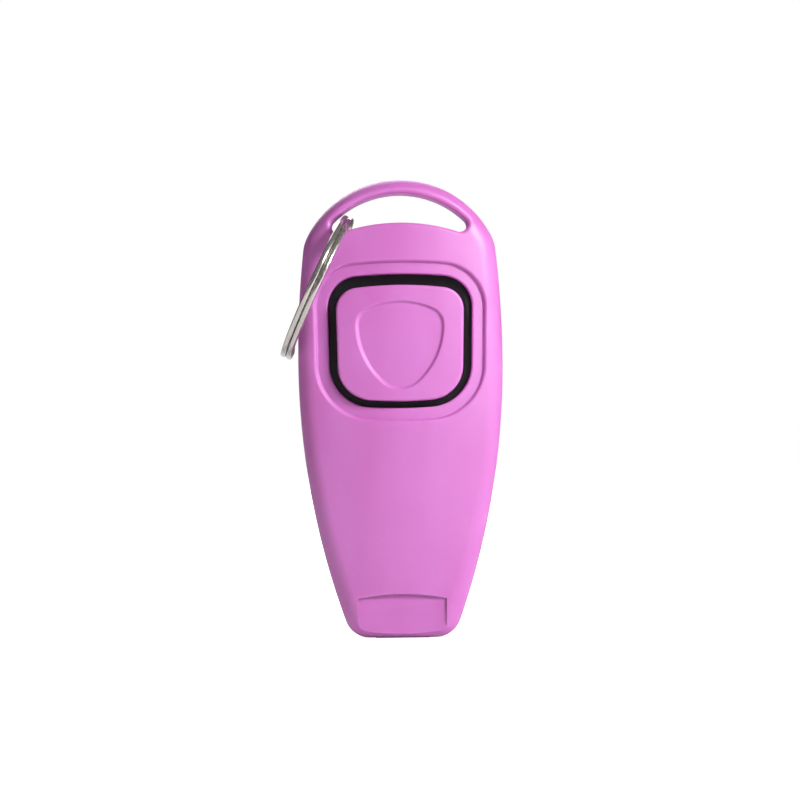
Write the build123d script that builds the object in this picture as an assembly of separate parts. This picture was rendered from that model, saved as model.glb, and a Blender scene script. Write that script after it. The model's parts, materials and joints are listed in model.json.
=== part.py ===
from build123d import *

import math
import os

# A pocket-size training clicker combined with a whistle. All sizes are in millimetres.
# Each piece is shaped lying on its flat back: X to the right, Y towards the lanyard loop and Z out of
# the front face, from an origin on the back, half-way along the body. stand_up then turns it upright,
# hanging from its loop: the origin at the middle of the slot, the front facing -Y and the loop at +Z.

# Body: plan outline
LENGTH = 75.0
WIDTH = 33.5
WIDEST_Y = 8.0  # where the sides are parallel
ARCH_RADIUS = 17.0  # top of the lanyard loop
SIDE_RADIUS_UPPER = 166.0
SIDE_RADIUS_LOWER = 128.0
SHOULDER_ROUND = 7.0  # between the arch and the sides
MOUTH_ROUND = 4.2  # lower corners of the mouthpiece

# Body: thickness
THICKNESS = 12.6  # at the crest, without the button
CREST_Y = 7.0
CREST_RADIUS = 290.0  # curve of the front along the body
CROWN_RADIUS = 50.0  # curve of the front across the body
BACK_LIFT_Y = 15.0  # the back leaves the flat here, towards the loop
BACK_LIFT_RADIUS = 20.0
BACK_LIFT_ANGLE = 15.0
MOUTH_LIFT_Y = -20.0  # and here, towards the mouthpiece
MOUTH_LIFT_RADIUS = 128.0
FRONT_RIM = 3.6  # edge rounding round the front
BACK_RIM = 2.0  # edge rounding round the back
WALL = 1.6
PARTING_Z = 6.0  # plane where the two shells meet

# Lanyard slot: the lens between two arcs
SLOT_TOP_CENTRE_Y = 19.6
SLOT_TOP_RADIUS = 15.5
SLOT_LOW_Y = 30.3
SLOT_LOW_RADIUS = 31.0
SLOT_TIP_ROUND = 1.2
SLOT_RIM = 0.6

# Button, its opening and the shallow dish round it
BUTTON_Y = 10.7
BUTTON_WIDTH = 20.8
BUTTON_HEIGHT = 18.8
BUTTON_TAPER = 0.35  # each side leans in by this towards the lower edge
BUTTON_BULGE = 0.85  # how far the upper and lower edges are arched
BUTTON_UPPER_ROUND = 3.6
BUTTON_LOWER_ROUND = 5.6
BUTTON_PROUD = 0.9  # above the body's front surface
BUTTON_TRAVEL = 1.2
BUTTON_EDGE = 0.45
GAP_TOP, GAP_LOW, GAP_SIDE = 1.85, 1.1, 1.4  # black gap between the button and the opening
DISH_RIM = 2.0  # width of the dish outside the opening
DISH_DEPTH = 0.7
DISH_RIM_ROUND = 0.4
DISH_FOOT_ROUND = 0.25
OPENING_RIM = 0.3
THUMB_WIDTH = 14.0
THUMB_HEIGHT = 13.4
THUMB_DEPTH = 0.5
THUMB_RIM_ROUND = 0.3
THUMB_FOOT_ROUND = 0.4

# Pieces under the button
SURROUND_TOP_Z = 9.6
SURROUND_THICK = 1.2
SURROUND_LAP = 1.2  # how far it reaches under the front wall
SURROUND_GAP = 0.15  # running gap round the button's skirt
FLANGE_THICK = 0.9
FLANGE_WIDTH = 0.9
PLUNGER_RADIUS = 1.6

# Click blade, clamped near the loop end and free below the button
BLADE_THICK = 0.35
BLADE_WIDTH = 10.0
BLADE_Z = 4.0  # underside of the blade at rest
BLADE_PIVOT_Y = 23.4
BLADE_ROOT = 1.6  # from the pivot to the fixed end
BLADE_REACH = 23.2  # from the pivot to the free tip
BLADE_GAP = 0.05
DIMPLE_RADIUS = 4.0
DIMPLE_HEIGHT = 0.8
RIB_WIDTH = 2.4
CLAMP_HEIGHT = 1.5
BLADE_SCREW_X = 3.2
BLADE_SCREW_RADIUS = 0.8

# Case screws
CASE_SCREWS = [(-9.8, 24.2), (9.8, 24.2), (-10.0, -3.2), (10.0, -3.2)]
BOSS_RADIUS = 2.3
SCREW_RADIUS = 0.95
SCREW_HEAD_RADIUS = 1.7
SCREW_HEAD_THICK = 1.1
SCREW_LENGTH = 6.5

# Whistle in the lower half
CHAMBER_LOW_Y = -27.0
CHAMBER_HIGH_Y = -7.0
CLICK_ROOM_LOW_Y = -5.4
CLICK_ROOM_HIGH_Y = 26.2
WINDWAY_WIDTH = 9.0
WINDWAY_HEIGHT = 1.6
WINDWAY_Z = 2.8
WINDOW_LENGTH = 4.6
PLUG_HEIGHT = 2.4

# Flat bite pad on the mouthpiece
PAD_WIDTH = 14.4
PAD_TOP_Y = -30.0
PAD_ARCH = 0.8
PAD_DEPTH = 0.9

# Split ring
RING_OUTER = 25.4
WIRE_RADIAL = 1.5
WIRE_AXIAL = 0.95
RING_CENTRE = (-13.5, 20.1, 6.4)
RING_HEADING = 245.0  # direction in plan from the slot to the ring's far side, in degrees

TOP_Y = LENGTH / 2
MOUTH_Y = -LENGTH / 2
FAR = 60.0  # longer than anything here
SLOT_CENTRE = (0.0, 32.7, 7.8)


def side_half_width(y):
    """Half the body's width at y, before the ends are rounded off."""
    radius = SIDE_RADIUS_UPPER if y > WIDEST_Y else SIDE_RADIUS_LOWER
    return WIDTH / 2 - radius + math.sqrt(radius**2 - (y - WIDEST_Y) ** 2)


def shoulder_point():
    """Where the arch circle meets the side, found by halving the interval."""
    centre = TOP_Y - ARCH_RADIUS
    low, high = centre, TOP_Y
    for _ in range(60):
        y = (low + high) / 2
        arch = math.sqrt(ARCH_RADIUS**2 - (y - centre) ** 2)
        low, high = (y, high) if arch > side_half_width(y) else (low, y)
    return side_half_width(low), low


def plan_outline():
    """The body's outline seen from the front, as a face."""
    x, y = shoulder_point()
    centre = TOP_Y - ARCH_RADIUS
    middle = math.radians(90 - math.degrees(math.atan2(x, y - centre)) / 2)
    arch_mid = (ARCH_RADIUS * math.cos(middle), centre + ARCH_RADIUS * math.sin(middle))
    upper_mid = (side_half_width((y + WIDEST_Y) / 2), (y + WIDEST_Y) / 2)
    lower_mid = (side_half_width((MOUTH_Y + WIDEST_Y) / 2), (MOUTH_Y + WIDEST_Y) / 2)
    mouth = side_half_width(MOUTH_Y)
    with BuildSketch() as sketch:
        with BuildLine():
            ThreePointArc((0, TOP_Y), arch_mid, (x, y))
            ThreePointArc((x, y), upper_mid, (WIDTH / 2, WIDEST_Y))
            ThreePointArc((WIDTH / 2, WIDEST_Y), lower_mid, (mouth, MOUTH_Y))
            Line((mouth, MOUTH_Y), (0, MOUTH_Y))
            mirror(about=Plane.YZ)
        make_face()
        shoulders = sketch.vertices().filter_by(lambda v: abs(v.Y - y) < 0.01)
        fillet(shoulders, SHOULDER_ROUND)
        corners = sketch.vertices().filter_by(lambda v: abs(v.Y - MOUTH_Y) < 0.01 and abs(v.X) > 1)
        fillet(corners, MOUTH_ROUND)
    return sketch.sketch


def front_z(y, drop=0.0):
    """Height of the front's centre line at y."""
    return THICKNESS - CREST_RADIUS + math.sqrt(CREST_RADIUS**2 - (y - CREST_Y) ** 2) - drop


def front_limit(drop):
    """Everything below the crowned front surface, lowered by drop."""
    axis_z = THICKNESS - CROWN_RADIUS
    start, middle, end = -FAR, CREST_Y, FAR
    spots = [(y, front_z(y, drop)) for y in (start, middle, end)]
    with BuildSketch(Plane.YZ) as profile:
        with BuildLine():
            arc = ThreePointArc(*spots)
            Polyline(arc @ 1, (end, axis_z), (start, axis_z), arc @ 0)
        make_face()
    axis = Axis((0, 0, axis_z), (0, 1, 0))
    return revolve(profile.sketch, axis, 360)


def back_limit(inset):
    """Everything above the back surface, raised by inset."""
    lift = math.radians(BACK_LIFT_ANGLE)
    arc_end = (BACK_LIFT_Y + BACK_LIFT_RADIUS * math.sin(lift), BACK_LIFT_RADIUS * (1 - math.cos(lift)))
    line_end = (FAR, arc_end[1] + (FAR - arc_end[0]) * math.tan(lift))
    mouth_run = MOUTH_LIFT_Y - MOUTH_Y + 6
    mouth_angle = math.asin(mouth_run / MOUTH_LIFT_RADIUS)
    mouth_end = (MOUTH_LIFT_Y - mouth_run, MOUTH_LIFT_RADIUS * (1 - math.cos(mouth_angle)))
    with BuildSketch(Plane.YZ) as profile:
        with BuildLine():
            TangentArc(Vector(MOUTH_LIFT_Y, 0), Vector(*mouth_end), tangent=(-1, 0))
            Line((MOUTH_LIFT_Y, 0), (BACK_LIFT_Y, 0))
            TangentArc(Vector(BACK_LIFT_Y, 0), Vector(*arc_end), tangent=(1, 0))
            Polyline(arc_end, line_end, (FAR, FAR), (mouth_end[0], FAR), mouth_end)
        make_face()
        if inset:
            offset(amount=-inset, kind=Kind.INTERSECTION)
    return extrude(profile.sketch, FAR, both=True)


def envelope(inset=0.0):
    """The body's outer form, or with an inset the room inside a wall of that thickness."""
    outline = plan_outline()
    if inset:
        outline = offset(outline, -inset)
    form = extrude(outline, FAR) & front_limit(inset) & back_limit(inset)
    form = form.solid()
    walls = form.faces().filter_by(lambda f: abs(f.normal_at().Z) < 0.5)
    fronts = form.faces().filter_by(lambda f: f.normal_at().Z > 0.5)
    backs = form.faces().filter_by(lambda f: f.normal_at().Z < -0.5)
    form = fillet(fronts.edges() & walls.edges(), FRONT_RIM - inset)
    walls = form.faces().filter_by(lambda f: abs(f.normal_at().Z) < 0.5)
    backs = form.faces().filter_by(lambda f: f.normal_at().Z < -0.5)
    return fillet(backs.edges() & walls.edges(), max(BACK_RIM - inset, 0.3))


def back_z(y):
    """Height of the back surface at y, between the mouthpiece's lift and the loop."""
    lift = math.radians(BACK_LIFT_ANGLE)
    arc_run = BACK_LIFT_RADIUS * math.sin(lift)
    if y <= BACK_LIFT_Y:
        return 0.0
    if y <= BACK_LIFT_Y + arc_run:
        return BACK_LIFT_RADIUS - math.sqrt(BACK_LIFT_RADIUS**2 - (y - BACK_LIFT_Y) ** 2)
    return BACK_LIFT_RADIUS * (1 - math.cos(lift)) + (y - BACK_LIFT_Y - arc_run) * math.tan(lift)


def block(x_half, y_low, y_high, z_low, z_high):
    """A box centred on X = 0."""
    box = Box(2 * x_half, y_high - y_low, z_high - z_low)
    return Pos(0, (y_low + y_high) / 2, (z_low + z_high) / 2) * box


def column(x, y, radius, z_low, z_high):
    """An upright cylinder."""
    return Pos(x, y, (z_low + z_high) / 2) * Cylinder(radius, z_high - z_low)


def prism(face, z_low, z_high):
    """A plan face carried up from z_low to z_high."""
    return Pos(0, 0, z_low) * extrude(face, z_high - z_low)


def slot_outline():
    """The lens-shaped lanyard slot."""
    top = SLOT_TOP_CENTRE_Y + SLOT_TOP_RADIUS
    low_centre = SLOT_LOW_Y - SLOT_LOW_RADIUS
    separation = SLOT_TOP_CENTRE_Y - low_centre
    tip_up = (SLOT_LOW_RADIUS**2 - SLOT_TOP_RADIUS**2 - separation**2) / (2 * separation)
    tip_x = math.sqrt(SLOT_TOP_RADIUS**2 - tip_up**2)
    tip_y = SLOT_TOP_CENTRE_Y + tip_up
    with BuildSketch() as sketch:
        with BuildLine():
            ThreePointArc((-tip_x, tip_y), (0, top), (tip_x, tip_y))
            ThreePointArc((tip_x, tip_y), (0, SLOT_LOW_Y), (-tip_x, tip_y))
        make_face()
        fillet(sketch.vertices(), SLOT_TIP_ROUND)
    return sketch.sketch


def rounded_square(width, height, y, upper_round, lower_round):
    """The button's soft square: arched above and below, and a little narrower below."""
    half, top, low = width / 2, y + height / 2, y - height / 2
    foot = half - BUTTON_TAPER
    with BuildSketch() as sketch:
        with BuildLine():
            ThreePointArc((-half, top - BUTTON_BULGE), (0, top), (half, top - BUTTON_BULGE))
            Line((half, top - BUTTON_BULGE), (foot, low + BUTTON_BULGE))
            ThreePointArc((foot, low + BUTTON_BULGE), (0, low), (-foot, low + BUTTON_BULGE))
            Line((-foot, low + BUTTON_BULGE), (-half, top - BUTTON_BULGE))
        make_face()
        fillet(sketch.vertices().filter_by(lambda v: v.Y > y), upper_round)
        fillet(sketch.vertices().filter_by(lambda v: v.Y < low + BUTTON_BULGE + 0.01), lower_round)
    return sketch.sketch


def button_outline():
    return rounded_square(BUTTON_WIDTH, BUTTON_HEIGHT, BUTTON_Y, BUTTON_UPPER_ROUND, BUTTON_LOWER_ROUND)


def opening_outline():
    """The hole in the front for the button, wider than the button by the black gap."""
    width = BUTTON_WIDTH + 2 * GAP_SIDE
    height = BUTTON_HEIGHT + GAP_TOP + GAP_LOW
    y = BUTTON_Y + (GAP_TOP - GAP_LOW) / 2
    return rounded_square(width, height, y, BUTTON_UPPER_ROUND + GAP_SIDE, BUTTON_LOWER_ROUND + GAP_SIDE)


def thumb_outline():
    """The thumb recess: a soft triangle with its point towards the mouthpiece."""
    half, top, low = THUMB_WIDTH / 2, BUTTON_Y + THUMB_HEIGHT / 2, BUTTON_Y - THUMB_HEIGHT / 2
    shoulder = top - 0.15 * THUMB_HEIGHT
    waist = BUTTON_Y - 0.09 * THUMB_HEIGHT
    point = low - 1.5
    with BuildSketch() as sketch:
        with BuildLine():
            ThreePointArc((-0.98 * half, shoulder), (0, top), (0.98 * half, shoulder))
            ThreePointArc((0.98 * half, shoulder), (0.89 * half, waist), (0, point))
            ThreePointArc((0, point), (-0.89 * half, waist), (-0.98 * half, shoulder))
        make_face()
        fillet(sketch.vertices().filter_by(lambda v: v.Y > BUTTON_Y), 2.8)
        fillet(sketch.vertices().filter_by(lambda v: v.Y < low), 4.4)
    return sketch.sketch


def pad_outline():
    """The flat bite pad, with an arched upper edge, running off the end of the mouthpiece."""
    half = PAD_WIDTH / 2
    with BuildSketch() as sketch:
        with BuildLine():
            ThreePointArc((-half, PAD_TOP_Y - PAD_ARCH), (0, PAD_TOP_Y), (half, PAD_TOP_Y - PAD_ARCH))
            Polyline(
                (half, PAD_TOP_Y - PAD_ARCH),
                (half, MOUTH_Y - 5),
                (-half, MOUTH_Y - 5),
                (-half, PAD_TOP_Y - PAD_ARCH),
            )
        make_face()
    return sketch.sketch


def along(solid, outline, shallow, deep):
    """The edges of a solid along a plan outline, between two depths below the front surface."""
    curves = outline.edges()

    def depth(p):
        crown = CROWN_RADIUS - math.sqrt(CROWN_RADIUS**2 - p.X**2)
        return front_z(p.Y) - crown - p.Z

    def follows(edge):
        spots = [edge @ share for share in (0.25, 0.5, 0.75)]
        return all(min(c.distance_to(Vector(p.X, p.Y, 0)) for c in curves) < 0.06 for p in spots)

    level = solid.edges().filter_by(lambda e: abs((e % 0.5).Z) < 0.8 and shallow < depth(e @ 0.5) < deep)
    return level.filter_by(follows)


def above_front(face, drop):
    """The space over a plan face and above the front surface lowered by drop."""
    return prism(face, 0, FAR) - front_limit(drop)


def shaped_body():
    """The whole body with its slot, the dish round the button and the bite pad, before it is split."""
    slot, dish = slot_outline(), offset(opening_outline(), DISH_RIM)
    body = envelope() - prism(slot, -1, FAR)
    body = fillet(along(body, slot, -1, FAR), SLOT_RIM)
    body -= above_front(dish, DISH_DEPTH)
    body = fillet(along(body, dish, -0.1, DISH_DEPTH - 0.15), DISH_RIM_ROUND)
    body = fillet(along(body, dish, DISH_DEPTH - 0.1, DISH_DEPTH + 0.1), DISH_FOOT_ROUND)
    return body - pad_cut()


def pad_cut():
    """The space over the bite pad's flat floor."""
    floor_high = front_z(PAD_TOP_Y) - PAD_DEPTH
    floor_low = front_z(MOUTH_Y) - PAD_DEPTH
    slope = (floor_high - floor_low) / (PAD_TOP_Y - MOUTH_Y)
    with BuildSketch(Plane.YZ) as side:
        with BuildLine():
            Polyline(
                (MOUTH_Y - 5, floor_low - 5 * slope),
                (PAD_TOP_Y + 1, floor_high + slope),
                (PAD_TOP_Y + 1, FAR),
                (MOUTH_Y - 5, FAR),
                close=True,
            )
        make_face()
    return extrude(side.sketch, FAR, both=True) & prism(pad_outline(), 0, FAR)


def rooms(inset=0.0):
    """The two hollows inside the walls: the click room and the whistle's chamber."""
    inner = envelope(WALL + inset)
    click = block(WIDTH, CLICK_ROOM_LOW_Y + inset, CLICK_ROOM_HIGH_Y - inset, 0, FAR)
    chamber = block(WIDTH, CHAMBER_LOW_Y + inset, CHAMBER_HIGH_Y - inset, 0, FAR)
    return inner & click, inner & chamber


def screw_seat_z(y):
    """Underside of a case screw's head, sunk a little below the back."""
    return back_z(y - SCREW_HEAD_RADIUS) + 0.35 + SCREW_HEAD_THICK


def bosses(z_low, z_high):
    """The four columns that the case screws run in."""
    return [column(x, y, BOSS_RADIUS, z_low, z_high) for x, y in CASE_SCREWS]


def front_shell(body):
    """The front casing, with the loop, the dish, the button's opening and the bite pad."""
    click, chamber = rooms()
    half = body & block(FAR, -FAR, FAR, PARTING_Z, FAR)
    opening = prism(opening_outline(), 0, FAR)
    collar = half & prism(offset(opening_outline(), WALL), SURROUND_TOP_Z, FAR)
    shell = half - click - chamber + collar
    for boss in bosses(PARTING_Z, FAR):
        shell += boss & half
    shell -= opening
    shell = fillet(along(shell, opening_outline(), DISH_DEPTH - 0.1, DISH_DEPTH + 0.3), OPENING_RIM)
    shell -= plug_space()
    for x, y in CASE_SCREWS:
        shell -= column(x, y, SCREW_RADIUS, 0, screw_seat_z(y) + SCREW_LENGTH)
    return shell


def plug_space():
    """The windway and the pocket for the plug over it."""
    top = WINDWAY_Z + WINDWAY_HEIGHT + PLUG_HEIGHT
    return block(WINDWAY_WIDTH / 2, MOUTH_Y - 1, CHAMBER_LOW_Y + 0.01, WINDWAY_Z, top)


def blade_seat():
    """The ridge under the blade's root, with a shoulder at each end for the clamp bar."""
    low, high = BLADE_PIVOT_Y - RIB_WIDTH / 2, BLADE_PIVOT_Y + RIB_WIDTH / 2
    ridge = block(BLADE_WIDTH / 2 + 0.2, low, high, 0.5, BLADE_Z - BLADE_GAP)
    ridge = fillet(ridge.edges().filter_by(Axis.X).group_by(Axis.Z)[-1], RIB_WIDTH / 2 - 0.1)
    shoulder = Box(1.4, RIB_WIDTH, BLADE_Z + BLADE_THICK + BLADE_GAP - 0.5)
    z = 0.5 + (BLADE_Z + BLADE_THICK + BLADE_GAP - 0.5) / 2
    x = BLADE_WIDTH / 2 + 0.2 + 0.7
    return ridge + Pos(x, BLADE_PIVOT_Y, z) * shoulder + Pos(-x, BLADE_PIVOT_Y, z) * shoulder


def whistle_window():
    """The sloped window in the back, which leaves a thin edge facing the windway."""
    edge_y = CHAMBER_LOW_Y + WINDOW_LENGTH
    with BuildSketch(Plane.YZ) as side:
        with BuildLine():
            Polyline(
                (CHAMBER_LOW_Y, -1),
                (CHAMBER_LOW_Y, WINDWAY_Z + WINDWAY_HEIGHT),
                (edge_y, WINDWAY_Z + WINDWAY_HEIGHT),
                (edge_y, WINDWAY_Z + 0.5),
                (edge_y + 5.4, -0.2),
                (edge_y + 5.4, -1),
                close=True,
            )
        make_face()
    return extrude(side.sketch, WINDWAY_WIDTH / 2, both=True)


def rear_shell(body):
    """The back casing, with the blade's seat, the screw bosses, the windway and its window."""
    click, chamber = rooms()
    half = body & block(FAR, -FAR, FAR, -1, PARTING_Z)
    shell = half - click - chamber
    for boss in bosses(0, PARTING_Z):
        shell += boss & half
    shell += blade_seat() & body
    edge_y = CHAMBER_LOW_Y + WINDOW_LENGTH
    shell += block(WINDWAY_WIDTH / 2 + 0.6, edge_y, edge_y + 6.2, 1, WINDWAY_Z + 0.7)
    shell -= whistle_window()
    shell -= plug_space()
    for x, y in CASE_SCREWS:
        seat = screw_seat_z(y)
        shell -= column(x, y, SCREW_RADIUS + 0.05, 0, FAR)
        shell -= column(x, y, SCREW_HEAD_RADIUS + 0.1, -1, seat)
    for side in (-1, 1):
        shell -= column(side * BLADE_SCREW_X, BLADE_PIVOT_Y, BLADE_SCREW_RADIUS, 1.2, FAR)
    return shell


def cross_recess(radius, depth):
    """A crosshead driver's recess, to be cut down from Z = 0."""
    arm = Box(2 * radius, 0.42 * radius, depth)
    other = Box(0.42 * radius, 2 * radius, depth)
    return Pos(0, 0, -depth / 2) * (arm + other)


def screw(head_radius, head_thick, shank_radius, shank_length):
    """A screw standing on its tip's axis, head up, with the head's underside at Z = 0."""
    head = Pos(0, 0, head_thick / 2) * Cylinder(head_radius, head_thick)
    head = fillet(head.edges().group_by(Axis.Z)[-1], 0.3 * head_thick)
    head -= Pos(0, 0, head_thick) * cross_recess(0.62 * head_radius, 0.6 * head_thick)
    shank = Pos(0, 0, -shank_length / 2) * Cylinder(shank_radius, shank_length)
    shank = chamfer(shank.edges().group_by(Axis.Z)[0], 0.4 * shank_radius)
    return head + shank


def case_screws():
    """Four crosshead screws driven from the back."""
    one = Rot(180, 0, 0) * screw(SCREW_HEAD_RADIUS, SCREW_HEAD_THICK, SCREW_RADIUS, SCREW_LENGTH)
    return Compound(children=[(Pos(x, y, screw_seat_z(y)) * one).solid() for x, y in CASE_SCREWS])


def blade_screws():
    """The two screws through the clamp bar."""
    z = BLADE_Z + BLADE_THICK + BLADE_GAP + CLAMP_HEIGHT
    one = screw(1.5, 0.9, BLADE_SCREW_RADIUS, z - 1.3)
    spots = [Pos(side * BLADE_SCREW_X, BLADE_PIVOT_Y, z) for side in (-1, 1)]
    return Compound(children=[(spot * one).solid() for spot in spots])


def blade_clamp():
    """The bar over the blade's root, rounded underneath so that the blade can rock."""
    z = BLADE_Z + BLADE_THICK + BLADE_GAP
    low, high = BLADE_PIVOT_Y - RIB_WIDTH / 2, BLADE_PIVOT_Y + RIB_WIDTH / 2
    bar = block(BLADE_WIDTH / 2 + 1.6, low, high, z, z + CLAMP_HEIGHT)
    bar = fillet(bar.edges().filter_by(Axis.X).group_by(Axis.Z)[0], RIB_WIDTH / 2 - 0.1)
    for side in (-1, 1):
        bar -= column(side * BLADE_SCREW_X, BLADE_PIVOT_Y, BLADE_SCREW_RADIUS + 0.05, 0, FAR)
    return bar


def click_blade():
    """The spring-steel tongue, with the pressed dimple that snaps over under the plunger."""
    low, high = BLADE_PIVOT_Y - BLADE_REACH, BLADE_PIVOT_Y + BLADE_ROOT
    plate = block(BLADE_WIDTH / 2, low, high, BLADE_Z, BLADE_Z + BLADE_THICK)
    plate = fillet(plate.edges().filter_by(Axis.Z).group_by(Axis.Y)[0], 2.5)
    ball = (DIMPLE_RADIUS**2 + DIMPLE_HEIGHT**2) / (2 * DIMPLE_HEIGHT)
    centre = Pos(0, BUTTON_Y, BLADE_Z + BLADE_THICK + DIMPLE_HEIGHT - ball)
    cap = centre * Sphere(ball) & block(FAR, -FAR, FAR, BLADE_Z + BLADE_THICK / 2, FAR)
    blade = plate + cap - centre * Sphere(ball - BLADE_THICK)
    for side in (-1, 1):
        blade -= column(side * BLADE_SCREW_X, BLADE_PIVOT_Y, BLADE_SCREW_RADIUS + 0.25, 0, FAR)
    return blade


def button_cap():
    """The thumb button: a crowned cap with a skirt, a stop flange and the plunger."""
    outline = button_outline()
    flange_top = SURROUND_TOP_Z - SURROUND_THICK - 0.1
    flange_low = flange_top - FLANGE_THICK
    cap = prism(outline, flange_low, FAR) & front_limit(-BUTTON_PROUD)
    cap = fillet(cap.faces().sort_by(Axis.Z)[-1].edges(), BUTTON_EDGE)
    thumb = thumb_outline()
    cap -= above_front(thumb, THUMB_DEPTH - BUTTON_PROUD)
    floor = THUMB_DEPTH - BUTTON_PROUD
    cap = fillet(along(cap, thumb, -BUTTON_PROUD - 0.1, floor - 0.2), THUMB_RIM_ROUND)
    cap = fillet(along(cap, thumb, floor - 0.05, floor + 0.05), THUMB_FOOT_ROUND)
    cap += prism(offset(outline, FLANGE_WIDTH), flange_low, flange_top)
    hollow = prism(offset(outline, -1.3), 0, FAR) & front_limit(1.4 - BUTTON_PROUD)
    cap -= hollow
    tip = BLADE_Z + BLADE_THICK + DIMPLE_HEIGHT + 0.1
    plunger = column(0, BUTTON_Y, PLUNGER_RADIUS, tip, THICKNESS)
    plunger = fillet(plunger.edges().group_by(Axis.Z)[0], PLUNGER_RADIUS - 0.3)
    return cap + plunger


def button_surround(body):
    """The black frame under the opening that guides the button's skirt."""
    low, high = SURROUND_TOP_Z - SURROUND_THICK, SURROUND_TOP_Z
    frame = prism(offset(opening_outline(), SURROUND_LAP), low, high)
    frame = frame & rooms()[0]
    frame -= prism(offset(button_outline(), SURROUND_GAP), 0, FAR)
    for x, y in CASE_SCREWS:
        frame -= column(x, y, BOSS_RADIUS + 0.1, 0, FAR)
    return frame


def whistle_plug():
    """The block that forms the windway's roof."""
    low = WINDWAY_Z + WINDWAY_HEIGHT
    plug = block(WINDWAY_WIDTH / 2 - 0.03, MOUTH_Y, CHAMBER_LOW_Y, low, low + PLUG_HEIGHT - 0.03)
    return plug


def split_ring():
    """The key ring: two turns of wire lying side by side, standing upright through the slot."""
    turn = Cylinder(RING_OUTER / 2, WIRE_AXIAL) - Cylinder(RING_OUTER / 2 - WIRE_RADIAL, WIRE_AXIAL)
    turn = fillet(turn.edges(), 0.28 * WIRE_AXIAL)
    pair = Pos(0, 0, WIRE_AXIAL / 2) * turn + Pos(0, 0, -WIRE_AXIAL / 2) * turn
    return Pos(*RING_CENTRE) * Rot(0, 0, RING_HEADING) * Rot(90, 0, 0) * pair


def stand_up(piece):
    """A piece turned from lying on its back to hanging from the loop, with the slot at the origin."""
    x, y, z = SLOT_CENTRE
    return Rot(90, 0, 0) * Pos(-x, -y, -z) * piece


def main():
    os.makedirs("parts", exist_ok=True)
    body = shaped_body()
    pieces = {
        "front_shell": front_shell(body),
        "rear_shell": rear_shell(body),
        "button_cap": button_cap(),
        "button_surround": button_surround(body),
        "click_blade": click_blade(),
        "blade_clamp": blade_clamp(),
        "blade_screws": blade_screws(),
        "case_screws": case_screws(),
        "whistle_plug": whistle_plug(),
        "split_ring": split_ring(),
    }
    for name, piece in pieces.items():
        export_step(stand_up(piece), f"parts/{name}.step")
        print(name, len(piece.solids()), round(piece.volume, 2))


if __name__ == "__main__":
    main()
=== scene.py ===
"""A combined training clicker and whistle in orchid plastic, finished and lit for its portrait.

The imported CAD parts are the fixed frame. Each of them gets its finish here, the key ring is wound
from flat wire in place of the plain CAD ring, and a small pale studio stands round them.
"""

import json
import logging
import math
from dataclasses import dataclass, field
from enum import Enum

import bmesh
import bpy
from bpy.types import Material, Node, NodeSocket, NodeTree, Object, ShaderNodeTree
from mathutils import Matrix, Vector


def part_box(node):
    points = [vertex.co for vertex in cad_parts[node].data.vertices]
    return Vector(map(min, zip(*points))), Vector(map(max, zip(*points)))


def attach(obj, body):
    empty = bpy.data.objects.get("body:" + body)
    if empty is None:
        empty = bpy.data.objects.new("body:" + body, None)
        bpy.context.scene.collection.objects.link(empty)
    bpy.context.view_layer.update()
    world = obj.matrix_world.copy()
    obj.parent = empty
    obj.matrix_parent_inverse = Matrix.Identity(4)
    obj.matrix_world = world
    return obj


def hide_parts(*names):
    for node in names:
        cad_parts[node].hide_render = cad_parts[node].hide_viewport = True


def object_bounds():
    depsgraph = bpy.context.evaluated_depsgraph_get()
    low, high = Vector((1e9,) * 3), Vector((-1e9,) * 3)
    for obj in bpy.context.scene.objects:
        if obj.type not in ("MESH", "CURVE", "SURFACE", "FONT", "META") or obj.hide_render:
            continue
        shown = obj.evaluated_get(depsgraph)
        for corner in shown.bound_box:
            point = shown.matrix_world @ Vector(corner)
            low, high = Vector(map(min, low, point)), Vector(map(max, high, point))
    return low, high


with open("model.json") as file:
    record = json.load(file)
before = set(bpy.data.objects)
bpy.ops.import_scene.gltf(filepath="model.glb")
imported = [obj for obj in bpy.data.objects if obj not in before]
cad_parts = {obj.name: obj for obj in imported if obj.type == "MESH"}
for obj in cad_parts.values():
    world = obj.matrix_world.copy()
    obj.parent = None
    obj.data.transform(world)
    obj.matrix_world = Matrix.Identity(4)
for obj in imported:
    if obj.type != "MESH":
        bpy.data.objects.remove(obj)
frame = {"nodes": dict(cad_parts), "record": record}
cad_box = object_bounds()

log = logging.getLogger("clicker")

MM = 0.001
PER_MM = 1000.0
PROBES = 6
TUBE_WHITE = (1.0, 1.0, 1.0, 1.0)
Colour = tuple[float, float, float]
Given = dict[str, NodeSocket]


class Tone(Enum):
    """The base colours of the clicker's materials and of the studio's card, in linear light. A few of them
    are painted shade.
    """

    ORCHID = (0.590, 0.165, 0.545)
    ORCHID_DEEP = (0.555, 0.132, 0.485)
    ORCHID_RUBBED = (0.740, 0.350, 0.680)
    # painted shade: near-black for the ring in the gap round the button
    GAP_SHADE_BLACK = (0.0075, 0.0062, 0.0082)
    GAP_SHADE_BLACK_RUBBED = (0.035, 0.032, 0.036)
    NICKEL = (0.700, 0.675, 0.630)
    NICKEL_DULL = (0.480, 0.455, 0.420)
    ZINC = (0.560, 0.570, 0.580)
    ZINC_DULL = (0.330, 0.335, 0.340)
    SPRING_STEEL = (0.470, 0.475, 0.490)
    SPRING_STEEL_DULL = (0.250, 0.245, 0.240)
    # painted shade: near-black for the wire's two cut ends
    CUT_END_SHADE = (0.045, 0.042, 0.040)
    CUT_END_SHADE_DULL = (0.020, 0.018, 0.017)
    PLATING_RUBBED = (0.860, 0.840, 0.800)
    # dark tone for the seam's dirt, and for the painted shade in occluded corners
    GRIME_AND_SHADE = (0.060, 0.035, 0.050)
    CARD = (0.800, 0.800, 0.800)
    CARD_LIGHT = (0.840, 0.840, 0.840)


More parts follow.
